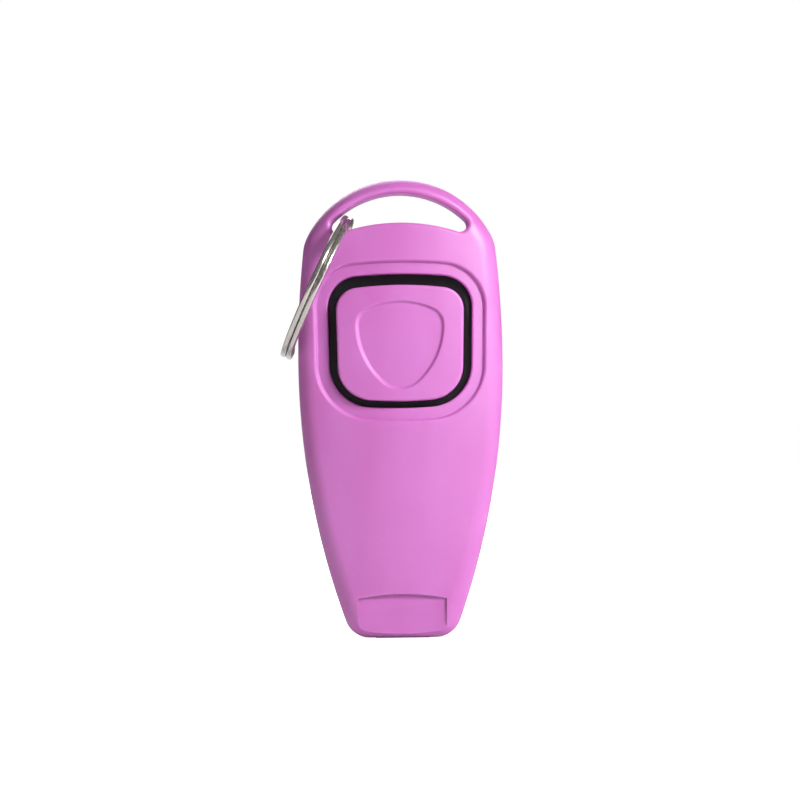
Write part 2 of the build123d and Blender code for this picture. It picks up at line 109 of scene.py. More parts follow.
class Sheen(Enum):
    """How rough each kind of surface is before wear."""

    SATIN_PLASTIC = 0.50
    BUTTON_PLASTIC = 0.46
    GAP_SHADE_SURFACE = 0.34
    BRIGHT_PLATING = 0.16
    ZINC_PLATING = 0.30
    ROLLED_STEEL = 0.24
    SHEARED_STEEL = 0.45


class Bench:
    """Places and joins the nodes of one material or one effect group."""

    def __init__(self, tree: NodeTree) -> None:
        """Empties a tree and works on it from then on.

        Args:
            tree: The node tree to fill.
        """
        self.tree = tree
        tree.nodes.clear()

    def put(self, kind: str, given: dict[str | int, object] | None = None, **settings: object) -> Node:
        """Adds one node and gives its inputs their values or links.

        Args:
            kind: The node's type name.
            given: Input names or numbers, each with a plain value or the socket that feeds it.
            **settings: The node's own properties.

        Returns:
            The new node.
        """
        node = self.tree.nodes.new(kind)
        for name, setting in settings.items():
            setattr(node, name, setting)
        for name, value in (given or {}).items():
            if isinstance(value, NodeSocket):
                self.tree.links.new(value, node.inputs[name])
            else:
                node.inputs[name].default_value = value
        node.location = (190 * len(self.tree.nodes), 0)
        return node

    def calc(self, operation: str, *terms: NodeSocket | float, clamp: bool = False) -> NodeSocket:
        """Adds a Math node.

        Args:
            operation: The Math node's operation.
            *terms: Its inputs in order.
            clamp: Whether the result is held between 0 and 1.

        Returns:
            The result's socket.
        """
        node = self.put("ShaderNodeMath", dict(enumerate(terms)), operation=operation, use_clamp=clamp)
        return node.outputs[0]

    def fade(self, value: NodeSocket, start: float | NodeSocket, end: float | NodeSocket) -> NodeSocket:
        """Turns a value into a smooth mask.

        Args:
            value: What is measured.
            start: The value at which the mask is 0.
            end: The value at which the mask is 1.

        Returns:
            The mask's socket.
        """
        given = {"Value": value, "From Min": start, "From Max": end}
        return self.put("ShaderNodeMapRange", given, interpolation_type="SMOOTHSTEP").outputs[0]

    def blend(self, share: NodeSocket | float, low: object, high: object) -> NodeSocket:
        """Blends two colours.

        Args:
            share: How much of the second colour shows.
            low: The first colour, or the socket that gives it.
            high: The second colour, or the socket that gives it.

        Returns:
            The blended colour's socket.
        """
        pair = [c if isinstance(c, NodeSocket) else (*c, 1.0) for c in (low, high)]
        return self.put("ShaderNodeMix", {0: share, 6: pair[0], 7: pair[1]}, data_type="RGBA").outputs[2]

    def noise(
        self, place: NodeSocket, scale: NodeSocket | float, detail: float, rough: float = 0.5
    ) -> NodeSocket:
        """Adds a noise texture.

        Args:
            place: The coordinates that the noise is read at.
            scale: Its scale, per metre.
            detail: How many finer layers it has.
            rough: How strong the finer layers are.

        Returns:
            The noise value's socket.
        """
        given = {"Vector": place, "Scale": scale, "Detail": detail, "Roughness": rough}
        return self.put("ShaderNodeTexNoise", given).outputs[0]


class Effect:
    """A surface effect that several finishes share, as one shader node group."""

    title = ""
    inlets: dict[str, float] = {}
    outlets: tuple[str, ...] = ()

    @classmethod
    def tree(cls) -> ShaderNodeTree:
        """Gives the effect's node group, which is built the first time."""
        made = bpy.data.node_groups.get(cls.title)
        if made is None:
            made = bpy.data.node_groups.new(cls.title, "ShaderNodeTree")
            for name, default in cls.inlets.items():
                socket = made.interface.new_socket(name, in_out="INPUT", socket_type="NodeSocketFloat")
                socket.default_value = default
            for name in cls.outlets:
                made.interface.new_socket(name, in_out="OUTPUT", socket_type="NodeSocketFloat")
            bench = Bench(made)
            inlet = bench.put("NodeGroupInput")
            bench.put("NodeGroupOutput", cls.draw(bench, dict(inlet.outputs.items())))
        return made

    @classmethod
    def draw(cls, bench: Bench, given: Given) -> Given:
        """Draws the effect's nodes.

        Args:
            bench: The bench of the group's tree.
            given: The group's inputs by name.

        Returns:
            The group's outputs by name.
        """
        raise NotImplementedError

    @classmethod
    def use(cls, bench: Bench, **values: float) -> Given:
        """Places the effect in a material.

        Args:
            bench: The bench of the material's tree.
            **values: The inputs in lower case, with underscores for spaces.

        Returns:
            The effect's outputs by name.
        """
        node = bench.put("ShaderNodeGroup", node_tree=cls.tree())
        for name, value in values.items():
            node.inputs[name.replace("_", " ").title()].default_value = value
        return dict(node.outputs.items())


def part_place(bench: Bench) -> NodeSocket:
    """The coordinates of a point on its own part, in metres, which move with the part.

    Args:
        bench: The bench of the tree that reads them.

    Returns:
        The coordinates' socket.
    """
    return bench.put("ShaderNodeTexCoord").outputs["Object"]


class MouldGrain(Effect):
    """The fine etched grain that a mould leaves on plastic, and a slow unevenness under it."""

    title = "mould_grain"
    inlets = {"Grain": 0.3, "Waviness": 0.25}
    outlets = ("Height", "Fleck")

    @classmethod
    def draw(cls, bench: Bench, given: Given) -> Given:
        """Draws two sizes of grain, and a slow wave. See Effect.draw."""
        place = part_place(bench)
        scale = bench.calc("DIVIDE", PER_MM, given["Grain"])
        fine = bench.noise(place, scale, 2.0, 0.6)
        slow = bench.noise(place, 160.0, 1.0)
        wave = bench.calc("MULTIPLY", slow, given["Waviness"])
        fleck = bench.noise(place, bench.calc("MULTIPLY", scale, 0.43), 1.0)
        return {"Height": bench.calc("ADD", fine, wave), "Fleck": bench.fade(fleck, 0.35, 0.7)}


class PigmentDrift(Effect):
    """The slow change of tone where coloured plastic flowed into its mould."""

    title = "pigment_drift"
    inlets = {"Patch": 14.0}
    outlets = ("Drift",)

    @classmethod
    def draw(cls, bench: Bench, given: Given) -> Given:
        """Draws a stretched, soft cloud. See Effect.draw."""
        stretch = {"Vector": part_place(bench), "Scale": (1.6, 1.0, 0.6)}
        place = bench.put("ShaderNodeMapping", stretch).outputs[0]
        cloud = bench.noise(place, bench.calc("DIVIDE", PER_MM, given["Patch"]), 2.0)
        return {"Drift": bench.fade(cloud, 0.3, 0.72)}


class HandlingMarks(Effect):
    """The soft smears that fingers leave, which show only in the gloss."""

    title = "handling_marks"
    inlets = {"Patch": 7.0}
    outlets = ("Smear",)

    @classmethod
    def draw(cls, bench: Bench, given: Given) -> Given:
        """Draws a broken cloud with short streaks in it. See Effect.draw."""
        place = part_place(bench)
        scale = bench.calc("DIVIDE", PER_MM, given["Patch"])
        cloud = bench.fade(bench.noise(place, scale, 3.0, 0.6), 0.48, 0.74)
        turn = {"Vector": place, "Rotation": (0.4, 0.7, 0.9), "Scale": (5.0, 1.2, 0.7)}
        streaks = bench.noise(bench.put("ShaderNodeMapping", turn).outputs[0], scale, 3.0)
        return {"Smear": bench.calc("MULTIPLY", cloud, bench.fade(streaks, 0.3, 0.65))}


class EdgeRub(Effect):
    """The wear along outer edges and corners, broken up as real wear is."""

    title = "edge_rub"
    inlets = {"Reach": 0.35, "Onset": 0.06}
    outlets = ("Rub",)

    @classmethod
    def draw(cls, bench: Bench, given: Given) -> Given:
        """Compares the surface with its rounded self, and keeps the edges that stand proud.

        See Effect.draw.
        """
        reach = bench.calc("MULTIPLY", given["Reach"], MM)
        soft = bench.put("ShaderNodeBevel", {"Radius": reach}, samples=PROBES).outputs[0]
        true = bench.put("ShaderNodeNewGeometry").outputs["Normal"]
        match = bench.put("ShaderNodeVectorMath", {0: soft, 1: true}, operation="DOT_PRODUCT")
        same = match.outputs["Value"]
        turned = bench.calc("SUBTRACT", 1.0, same)
        edge = bench.fade(turned, 0.004, given["Onset"])
        air = bench.put("ShaderNodeAmbientOcclusion", {"Distance": 0.9 * MM}, samples=PROBES)
        open_air = air.outputs["AO"]
        proud = bench.calc("MULTIPLY", edge, bench.fade(open_air, 0.62, 0.9))
        broken = bench.fade(bench.noise(part_place(bench), 900.0, 4.0, 0.65), 0.36, 0.62)
        return {"Rub": bench.calc("MULTIPLY", proud, broken)}


class DustAndPaintedShade(Effect):
    """Painted shade that darkens corners, gaps and grooves, broken up in patches like dust."""

    title = "dust_and_painted_shade"
    inlets = {"Reach": 1.1, "Onset": 0.8}
    outlets = ("Dust And Shade",)

    @classmethod
    def draw(cls, bench: Bench, given: Given) -> Given:
        """Darkens what little air reaches, as painted shade, and breaks it up in dust-like patches. See
        Effect.draw.
        """
        reach = bench.calc("MULTIPLY", given["Reach"], MM)
        # painted shade: the less air reaches a point, the darker it is painted
        air = bench.put("ShaderNodeAmbientOcclusion", {"Distance": reach}, samples=PROBES).outputs["AO"]
        shut = bench.fade(air, given["Onset"], 0.25)
        patchy = bench.fade(bench.noise(part_place(bench), 1500.0, 3.0, 0.6), 0.25, 0.7)
        return {"Dust And Shade": bench.calc("MULTIPLY", shut, patchy)}


class HairScratches(Effect):
    """Short, fine scratches in two directions, such as keys leave."""

    title = "hair_scratches"
    inlets = {"Spacing": 1.2, "Width": 0.012}
    outlets = ("Scratch",)

    @classmethod
    def draw(cls, bench: Bench, given: Given) -> Given:
        """Draws thin bands of two stretched noises, and hides most of each. See Effect.draw."""
        place = part_place(bench)
        scale = bench.calc("DIVIDE", PER_MM, given["Spacing"])
        found: list[NodeSocket] = []
        for turn in ((0.3, 0.5, 0.2), (1.1, -0.7, 2.0)):
            stretched = {"Vector": place, "Rotation": turn, "Scale": (2.4, 0.35, 1.0)}
            course = bench.put("ShaderNodeMapping", stretched).outputs[0]
            gap = bench.calc("ABSOLUTE", bench.calc("SUBTRACT", bench.noise(course, scale, 1.0), 0.5))
            line = bench.fade(gap, given["Width"], 0.0)
            kept = bench.fade(bench.noise(course, bench.calc("MULTIPLY", scale, 0.8), 0.0), 0.52, 0.6)
            found.append(bench.calc("MULTIPLY", line, kept))
        return {"Scratch": bench.calc("MAXIMUM", *found)}


class PartingSeam(Effect):
    """The fine groove where two moulded halves meet, across the thickness of the part."""

    title = "parting_seam"
    inlets = {"Plane": 0.0, "Half Width": 0.09}
    outlets = ("Seam",)

    @classmethod
    def draw(cls, bench: Bench, given: Given) -> Given:
        """Marks what lies close to the plane. See Effect.draw."""
        depth = bench.put("ShaderNodeSeparateXYZ", {0: part_place(bench)}).outputs["Y"]
        away = bench.calc("ABSOLUTE", bench.calc("SUBTRACT", depth, given["Plane"]))
        width = bench.calc("MULTIPLY", given["Half Width"], MM)
        return {"Seam": bench.fade(away, width, bench.calc("MULTIPLY", width, 0.35))}


@dataclass(frozen=True)
class MouldedPlastic:
    """Injection-moulded plastic with a grain, handling marks, rubbed edges, and painted shade with a little
    dust in its corners.
    """

    name: str
    base: Tone
    deep: Tone
    rubbed: Tone
    sheen: Sheen
    grain: float = 0.28
    grain_depth: float = 0.010
    waviness: float = 0.5
    drift: float = 1.0
    rub: float = 0.5
    dust_and_shade: float = 0.35
    scratch: float = 0.0
    gloss: float = 1.0
    glow: float = 0.30
    glow_reach: Colour = (1.0, 0.22, 0.5)
    glow_scale: float = 1.6 * MM
    seam_plane: float | None = None
    seam_dirt: float = 0.55
    seam_depth: float = 0.08
    fleck: float = 0.12
    scratch_depth: float = 0.01
    smear_rough: float = 0.09
    drift_rough: float = -0.03
    worn_rough: float = 0.3
    bump: float = 0.8

    def material(self) -> Material:
        """Builds the material, or gives it again if it is already built."""
        made = bpy.data.materials.get(self.name)
        if made is not None:
            return made
        made = bpy.data.materials.new(self.name)
        made.use_nodes = True
        bench = Bench(made.node_tree)
        grain = MouldGrain.use(bench, grain=self.grain, waviness=self.waviness)
        drift = PigmentDrift.use(bench)["Drift"]
        smear = HandlingMarks.use(bench)["Smear"]
        rub = bench.calc("MULTIPLY", EdgeRub.use(bench)["Rub"], self.rub)
        # painted shade with a little dust: corners that little air reaches are darkened
        dust_and_shade = bench.calc("MULTIPLY", DustAndPaintedShade.use(bench)["Dust And Shade"], self.dust_and_shade)
        tone = bench.blend(bench.calc("MULTIPLY", drift, self.drift), self.base.value, self.deep.value)
        tone = bench.blend(bench.calc("MULTIPLY", grain["Fleck"], self.fleck), tone, self.deep.value)
        tone = bench.blend(rub, tone, self.rubbed.value)
        # painted shade: the occluded corners are blended towards a dark tone
        tone = bench.blend(dust_and_shade, tone, Tone.GRIME_AND_SHADE.value)
        rough = bench.calc("ADD", bench.calc("MULTIPLY", smear, self.smear_rough), self.sheen.value)
        rough = bench.calc("ADD", rough, bench.calc("MULTIPLY", drift, self.drift_rough))
        worn = bench.calc("MULTIPLY", bench.calc("MAXIMUM", rub, dust_and_shade), self.worn_rough)
        rough = bench.calc("ADD", rough, worn, clamp=True)
        height = bench.calc("MULTIPLY", grain["Height"], self.grain_depth)
        if self.scratch > 0:
            scratch = HairScratches.use(bench)["Scratch"]
            cut = bench.calc("MULTIPLY", scratch, self.scratch * self.scratch_depth)
            height = bench.calc("SUBTRACT", height, cut)
            tone = bench.blend(bench.calc("MULTIPLY", scratch, self.scratch), tone, self.rubbed.value)
        if self.seam_plane is not None:
            seam = PartingSeam.use(bench, plane=self.seam_plane)["Seam"]
            tone = bench.blend(bench.calc("MULTIPLY", seam, self.seam_dirt), tone, Tone.GRIME_AND_SHADE.value)
            height = bench.calc("SUBTRACT", height, bench.calc("MULTIPLY", seam, self.seam_depth))
        relief = {"Strength": self.bump, "Distance": MM, "Height": height}
        normal = bench.put("ShaderNodeBump", relief).outputs[0]
        given = {
            "Base Color": tone,
            "Roughness": rough,
            "Normal": normal,
            "Specular IOR Level": self.gloss,
        }
        if self.glow > 0:
            given |= {
                "Subsurface Weight": self.glow,
                "Subsurface Radius": self.glow_reach,
                "Subsurface Scale": self.glow_scale,
            }
        surface = bench.put("ShaderNodeBsdfPrincipled", given)
        bench.put("ShaderNodeOutputMaterial", {"Surface": surface.outputs[0]})
        return made


@dataclass(frozen=True)
class WornMetal:
    """Plated or rolled metal with hair scratches, dulled patches, and painted shade with grime in its
    corners.
    """

    name: str
    bright: Tone
    dull: Tone
    sheen: Sheen
    dulled: float = 0.35
    scratch: float = 0.5
    spacing: float = 1.2
    dust_and_shade: float = 0.4
    rub: float = 0.3
    patch_size: float = 2.6
    smear_size: float = 3.0
    rub_reach: float = 0.12
    dust_and_shade_reach: float = 0.6
    dust_and_shade_cover: float = 0.9
    scratch_dull: float = 0.35
    scratch_depth: float = 0.004
    grain: float = 0.12
    waviness: float = 0.3
    grain_depth: float = 0.0015
    smear_rough: float = 0.10
    scratch_rough: float = 0.22
    worn_rough: float = 0.25
    bump: float = 0.7

    def material(self) -> Material:
        """Builds the material, or gives it again if it is already built."""
        made = bpy.data.materials.get(self.name)
        if made is not None:
            return made
        made = bpy.data.materials.new(self.name)
        made.use_nodes = True
        bench = Bench(made.node_tree)
        cloud = PigmentDrift.use(bench, patch=self.patch_size)["Drift"]
        patch = bench.calc("MULTIPLY", cloud, self.dulled)
        scratch = HairScratches.use(bench, spacing=self.spacing)["Scratch"]
        smear = HandlingMarks.use(bench, patch=self.smear_size)["Smear"]
        rub = bench.calc("MULTIPLY", EdgeRub.use(bench, reach=self.rub_reach)["Rub"], self.rub)
        # painted shade with some grime: corners that little air reaches are darkened
        dust_and_shade = bench.calc("MULTIPLY", DustAndPaintedShade.use(bench, reach=self.dust_and_shade_reach)["Dust And Shade"], self.dust_and_shade)
        tone = bench.blend(patch, self.bright.value, self.dull.value)
        tone = bench.blend(bench.calc("MULTIPLY", scratch, self.scratch_dull), tone, self.dull.value)
        tone = bench.blend(rub, tone, Tone.PLATING_RUBBED.value)
        tone = bench.blend(dust_and_shade, tone, Tone.GRIME_AND_SHADE.value)
        rough = bench.calc("ADD", bench.calc("MULTIPLY", smear, self.smear_rough), self.sheen.value)
        rough = bench.calc("ADD", rough, bench.calc("MULTIPLY", scratch, self.scratch_rough))
        worn = bench.calc("MULTIPLY", bench.calc("MAXIMUM", patch, dust_and_shade), self.worn_rough)
        rough = bench.calc("ADD", rough, worn, clamp=True)
        # the painted shade and grime also take the metal's shine away
        metal = bench.calc("SUBTRACT", 1.0, bench.calc("MULTIPLY", dust_and_shade, self.dust_and_shade_cover))
        deep = bench.calc("MULTIPLY", scratch, -self.scratch_depth * self.scratch)
        texture = MouldGrain.use(bench, grain=self.grain, waviness=self.waviness)["Height"]
        fine = bench.calc("MULTIPLY", texture, self.grain_depth)
        height = bench.calc("ADD", deep, fine)
        relief = {"Strength": self.bump, "Distance": MM, "Height": height}
        normal = bench.put("ShaderNodeBump", relief).outputs[0]
        given = {"Base Color": tone, "Roughness": rough, "Metallic": metal, "Normal": normal}
        surface = bench.put("ShaderNodeBsdfPrincipled", given)
        bench.put("ShaderNodeOutputMaterial", {"Surface": surface.outputs[0]})
        return made


def wear(piece: Object, finish: MouldedPlastic | WornMetal) -> None:
    """Gives a piece its finish.

    Args:
        piece: The piece to dress.
        finish: The finish it wears.
    """
    if not piece.data.materials:
        piece.data.materials.append(None)
    for place in piece.material_slots:
        place.material = finish.material()


def mesh_piece(
    name: str, points: list[Vector], faces: list[tuple[int, ...]], crease: float = 40.0
) -> Object:
    """Makes a smooth-shaded mesh object and puts it in the scene.

    Args:
        name: The piece's name.
        points: Its corners, in metres.
        faces: Its faces, as numbers of corners.
        crease: The angle in degrees from which an edge stays sharp.

    Returns:
        The new object.
    """
    mesh = bpy.data.meshes.new(name)
    mesh.from_pydata([tuple(p) for p in points], [], faces)
    work = bmesh.new()
    work.from_mesh(mesh)
    bmesh.ops.recalc_face_normals(work, faces=work.faces)
    work.to_mesh(mesh)
    work.free()
    mesh.shade_smooth()
    mesh.set_sharp_from_angle(angle=math.radians(crease))
    piece = bpy.data.objects.new(name, mesh)
    bpy.context.scene.collection.objects.link(piece)
    return piece


@dataclass
class Casing:
    """The two halves of the moulded body and the plug that narrows its whistle's windway."""

    nodes: tuple[str, ...] = ("front_shell", "rear_shell", "whistle_plug")
    plug_edge: float = 0.08 * MM
    pieces: list[Object] = field(default_factory=list)

    def build(self) -> None:
        """Takes the CAD nodes as they are, and softens the plug's moulded corners."""
        self.pieces = [frame["nodes"][name] for name in self.nodes]
        rounding = frame["nodes"]["whistle_plug"].modifiers.new("moulded_corners", "BEVEL")
        rounding.width = self.plug_edge
        rounding.segments = 3

    def dress(self) -> None:
        """Gives the halves and the plug the same orchid plastic, with a seam where the halves meet."""
        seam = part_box("rear_shell")[0].y
        finish = MouldedPlastic(
            "orchid_casing",
            Tone.ORCHID,
            Tone.ORCHID_DEEP,
            Tone.ORCHID_RUBBED,
            Sheen.SATIN_PLASTIC,
            seam_plane=seam,
        )
        for piece in self.pieces:
            wear(piece, finish)


@dataclass
class ClickButton:
    """The thumb button and the near-black ring round it, whose black paints the shade in the gap round the
    button.
    """

    cap: str = "button_cap"
    surround: str = "button_surround"
    pieces: list[Object] = field(default_factory=list)

    def build(self) -> None:
        """Takes the CAD nodes as they are."""
        self.pieces = [frame["nodes"][self.cap], frame["nodes"][self.surround]]

    def dress(self) -> None:
        """Gives the button its plastic, which thumbs have polished a little, and the ring a near-black that
        paints the shade in the gap round the button.
        """
        button = MouldedPlastic(
            "orchid_button",
            Tone.ORCHID,
            Tone.ORCHID_DEEP,
            Tone.ORCHID_RUBBED,
            Sheen.BUTTON_PLASTIC,
            grain=0.22,
            grain_depth=0.007,
            rub=0.6,
        )
        # painted shade: the ring's near-black stands for the shaded gap round the button
        gap_shade = MouldedPlastic(
            "gap_shade_surround",
            Tone.GAP_SHADE_BLACK,
            Tone.GAP_SHADE_BLACK,
            Tone.GAP_SHADE_BLACK_RUBBED,
            Sheen.GAP_SHADE_SURFACE,
            grain=0.2,
            grain_depth=0.006,
            dust_and_shade=0.15,
            scratch=0.25,
            gloss=0.3,
            glow=0.0,
        )
        wear(self.pieces[0], button)
        wear(self.pieces[1], gap_shade)


@dataclass
class ClickMechanism:
    """The domed spring blade, the bar that clamps it and the bar's two screws."""

    blade: str = "click_blade"
    bar: str = "blade_clamp"
    screws: str = "blade_screws"
    pieces: list[Object] = field(default_factory=list)

    def build(self) -> None:
        """Takes the CAD nodes as they are."""
        self.pieces = [frame["nodes"][name] for name in (self.blade, self.bar, self.screws)]

    def dress(self) -> None:
        """Gives the blade and bar rolled spring steel, and the screws zinc plating."""
        steel = WornMetal(
            "rolled_spring_steel",
            Tone.SPRING_STEEL,
            Tone.SPRING_STEEL_DULL,
            Sheen.ROLLED_STEEL,
            spacing=0.8,
        )
        zinc = WornMetal("zinc_plated_clamp", Tone.ZINC, Tone.ZINC_DULL, Sheen.ZINC_PLATING, dust_and_shade=0.2)
        wear(self.pieces[0], steel)
        wear(self.pieces[1], steel)
        wear(self.pieces[2], zinc)


@dataclass
class CaseScrews:
    """The four cross-head screws in the back."""

    node: str = "case_screws"
    pieces: list[Object] = field(default_factory=list)

    def build(self) -> None:
        """Takes the CAD node as it is."""
        self.pieces = [frame["nodes"][self.node]]

    def dress(self) -> None:
        """Gives the screws zinc plating that a driver has marked."""
        zinc = WornMetal(
            "zinc_plated_screws",
            Tone.ZINC,
            Tone.ZINC_DULL,
            Sheen.ZINC_PLATING,
            dulled=0.5,
            dust_and_shade=0.6,
            rub=0.6,
        )
        wear(self.pieces[0], zinc)


def eased_step(t: float) -> float:
    """Eases a step in and out, with no bend at either end.

    Args:
        t: How far along the step is, from 0 to 1.

    Returns:
        The eased share, from 0 to 1.
    """
    return t * t * t * (t * (6 * t - 15) + 10)


class Layer(Enum):
    """The two layers of the wound ring, by the side of its middle plane that they lie on."""

    OUTER = -1.0
    INNER = 1.0


@dataclass
class SplitRing:
    """The key ring: two turns of flattened wire, which change layers at one joggle between the cut ends."""

    node: str = "split_ring"
    mount: str = "key_ring"
    wire_breadth: float = 1.5 * MM
    wire_depth: float = 0.93 * MM
    layer_pitch: float = 0.95 * MM
    joggle_start: float = -46.0
    joggle_end: float = -4.0
    flare: float = 0.04 * MM
    flare_span: float = 26.0
    steps_per_turn: int = 180
    section_points: int = 28
    squareness: float = 3.4
    end_round: float = 0.30 * MM
    tip_size: float = 0.62
    tip_steps: tuple[float, ...] = (0.0, 0.15, 0.5, 1.0)
    pieces: list[Object] = field(default_factory=list)

    def place(self) -> tuple[Vector, Vector, Vector, float]:
        """Reads the ring's centre, its axis, the direction of its far end and the wire's mean radius."""
        mount = next(m for m in frame["record"]["mounts"] if m["name"] == self.mount)
        low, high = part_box(self.node)
        axis = Vector(mount["axis"]).normalized()
        outward = Vector((axis.z, 0.0, -axis.x)).normalized()
        return Vector(mount["pos_m"]), axis, outward, (high.y - low.y - self.wire_breadth) / 2

    def layer_shift(self, turned: float) -> float:
        """Gives the wire's distance from the middle plane.

        Args:
            turned: Degrees along the wire from the ring's far end, from the first cut end on.

        Returns:
            The distance along the ring's axis, in metres.
        """
        start, end = 360 + self.joggle_start, 360 + self.joggle_end
        t = min(max((turned - start) / (end - start), 0.0), 1.0)
        change = (Layer.INNER.value - Layer.OUTER.value) * eased_step(t)
        sprung = max(1 - (turned - self.joggle_end) / self.flare_span, 0.0) ** 2 * self.flare
        return self.layer_pitch / 2 * (Layer.OUTER.value + change) - sprung

    def section(self, share: float) -> list[tuple[float, float]]:
        """Gives the wire's outline as a rounded rectangle.

        Args:
            share: The outline's size, as a share of the full wire.

        Returns:
            Points as (outward, sideways) in metres.
        """
        points = []
        for i in range(self.section_points):
            angle = 2 * math.pi * i / self.section_points
            c, s = math.cos(angle), math.sin(angle)
            across = math.copysign(abs(c) ** (2 / self.squareness), c) * self.wire_breadth / 2
            along = math.copysign(abs(s) ** (2 / self.squareness), s) * self.wire_depth / 2
            trim = (1 - share) * self.wire_depth / 2
            points.append((across - math.copysign(min(trim, abs(across)), across), along * share))
        return points

    def build(self) -> None:
        """Winds the wire and closes its two cut ends."""
        centre, axis, outward, radius = self.place()
        toward = Vector((0.0, -1.0, 0.0))
        first, last = self.joggle_end, 720 + self.joggle_start
        count = round((last - first) / 360 * self.steps_per_turn)
        ease = math.degrees(self.end_round / radius)
        tips = [step * ease for step in self.tip_steps]
        stations = [first + t for t in tips]
        stations += [first + (last - first) * i / count for i in range(2, count - 1)]
        stations += [last - t for t in reversed(tips)]
        points: list[Vector] = []
        for turned in stations:
            from_end = min(turned - first, last - turned) / ease
            full = 1.0 if from_end >= 1 else math.sqrt(1 - (1 - from_end) ** 2)
            share = self.tip_size + (1 - self.tip_size) * full
            angle = math.radians(turned)
            out = outward * math.cos(angle) + toward * math.sin(angle)
            middle = centre + axis * self.layer_shift(turned)
            points += [middle + out * (radius + a) + axis * b for a, b in self.section(share)]
        n = self.section_points
        faces: list[tuple[int, ...]] = []
        for i in range(len(stations) - 1):
            a, b = i * n, (i + 1) * n
            faces += [(a + j, a + (j + 1) % n, b + (j + 1) % n, b + j) for j in range(n)]
        faces += [tuple(range(n)), tuple(range(len(points) - n, len(points)))]
        ring = mesh_piece("split_ring_wire", points, faces)
        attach(ring, "ring")
        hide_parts(self.node)
        self.pieces = [ring]

    def dress(self) -> None:
        """Gives the wire its nickel plating, and paints its two cut ends near black as painted shade."""
        nickel = WornMetal(
            "nickel_plated_wire", Tone.NICKEL, Tone.NICKEL_DULL, Sheen.BRIGHT_PLATING, dulled=0.2
        )
        tip_shade = WornMetal("shaded_wire_end", Tone.CUT_END_SHADE, Tone.CUT_END_SHADE_DULL, Sheen.SHEARED_STEEL)
        ring = self.pieces[0]
        wear(ring, nickel)
        # painted shade: the cut ends get a second, near-black material
        ring.data.materials.append(tip_shade.material())
        for face in ring.data.polygons:
            face.material_index = 1 if self.in_shaded_tip(face.index) else 0

    def in_shaded_tip(self, number: int) -> bool:
        """Tells whether a face of the wire is at one of its two cut ends, which are painted dark as shade.

        Args:
            number: The face's number in the mesh.

        Returns:
            True within the rounded tips and on the end faces.
        """
        faces = len(self.pieces[0].data.polygons)
        tip = (len(self.tip_steps) - 1) * self.section_points
        return number < tip or number >= faces - 2 - tip


class Lamp(Enum):
    """The jobs of the studio's softboxes."""

    KEY = "key_softbox"
    FILL = "fill_softbox"
    SIDE = "side_softbox"
    BACK = "back_softbox"


@dataclass(frozen=True)
class Softbox:
    """One area light that faces the clicker."""

    lamp: Lamp
    place: Vector
    size: float
    power: float
    tint: Colour = (1.0, 1.0, 1.0)

    def build(self, target: Vector) -> Object:
        """Hangs the softbox.

        Args:
            target: The point it faces.

        Returns:
            The light's object.
        """
        data = bpy.data.lights.new(self.lamp.value, "AREA")
        data.shape = "DISK"
        data.size = self.size
        data.energy = self.power
        data.color = self.tint
        light = bpy.data.objects.new(self.lamp.value, data)
        light.location = self.place
        light.rotation_euler = (target - self.place).to_track_quat("-Z", "Y").to_euler()
        light.visible_camera = False
        bpy.context.scene.collection.objects.link(light)
        return light


